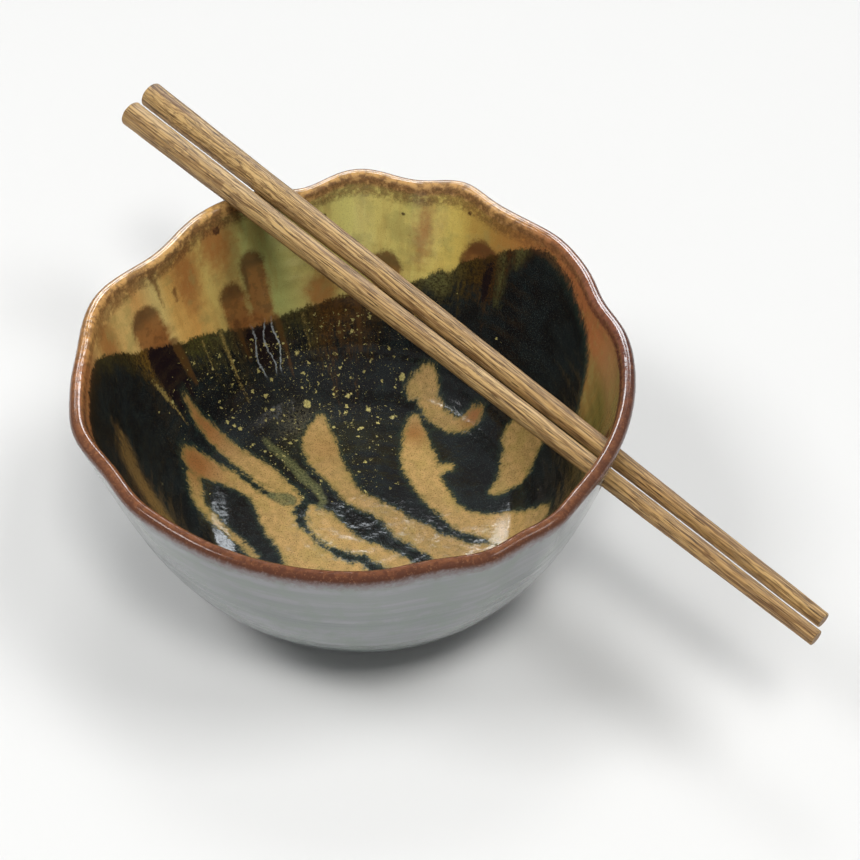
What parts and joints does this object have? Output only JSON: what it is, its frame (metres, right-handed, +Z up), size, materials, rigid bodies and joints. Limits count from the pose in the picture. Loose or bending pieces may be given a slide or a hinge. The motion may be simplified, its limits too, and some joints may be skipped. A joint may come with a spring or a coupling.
{
  "type": "rice bowl",
  "caption": "Glazed stoneware rice bowl with a fluted lip and foot ring; round tapered chopsticks rest on the lip and pass through an oval slot in the wall.",
  "frame": {"origin": "centre of the foot ring, on the plane that the bowl rests on", "axes": "+Z up out of the bowl; the sticks' slot is towards +X and a little towards -Y, and their thick ends point towards -X and +Y"},
  "size_m": [0.1937, 0.1848, 0.0821],
  "materials": {
    "glaze": "glossy",
    "stick_wood": "satin"
  },
  "bodies": {
    "bowl": {"bowl": "glaze"},
    "chopstick_back": {"chopstick_back": "stick_wood"},
    "chopstick_front": {"chopstick_front": "stick_wood"}
  },
  "joints": [
    {"name": "back_chopstick_slide", "type": "slide", "parent": "bowl", "child": "chopstick_back", "axis": [-0.7044, 0.7019, 0.1054], "range_m": [0, 0.215]},
    {"name": "front_chopstick_slide", "type": "slide", "parent": "bowl", "child": "chopstick_front", "axis": [-0.7153, 0.6908, 0.1054], "range_m": [0, 0.215]}
  ]
}
